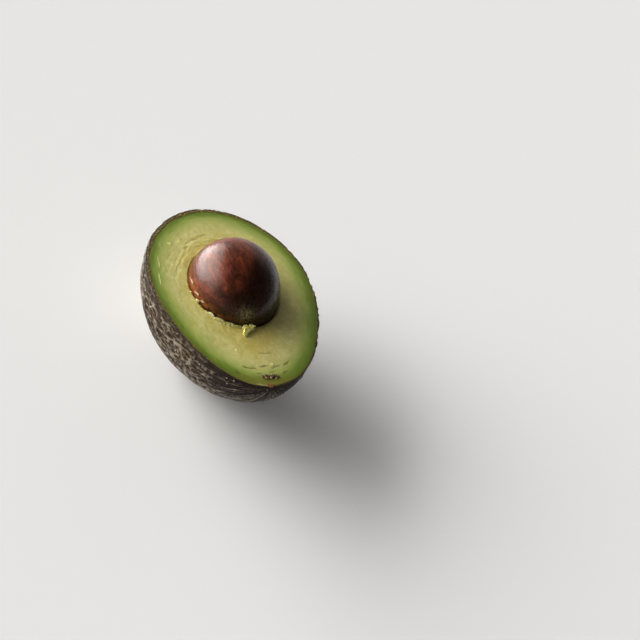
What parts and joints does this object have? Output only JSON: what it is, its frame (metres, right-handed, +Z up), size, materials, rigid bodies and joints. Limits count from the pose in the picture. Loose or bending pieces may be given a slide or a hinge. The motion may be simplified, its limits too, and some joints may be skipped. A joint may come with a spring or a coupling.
{
  "type": "avocado half with seed",
  "caption": "Avocado half cut lengthwise, lying cut face up: pebbled dark peel, green and yellow flesh, and the brown seed in its socket.",
  "frame": {"origin": "at the level of the flat spot on the back that the half rests on, below the middle of its length and on its plane of symmetry", "axes": "+X along the fruit towards the stem end, +Z up out of the cut face, +Y across, so the XZ plane divides the half into two equal sides"},
  "size_m": [0.1, 0.0742, 0.0628],
  "materials": {
    "skin": "dark purple-brown pebbled peel with pale worn bumps and a soft sheen",
    "flesh": "moist smooth flesh, green at the rim and creamy yellow in the middle",
    "seed": "smooth dark reddish brown seed coat with fine veins and a damp gloss",
    "stem": "dry corky orange-brown stem"
  },
  "bodies": {
    "root": {"skin": "skin", "flesh": "flesh", "seed": "seed", "stem_plug": "stem"}
  },
  "joints": []
}
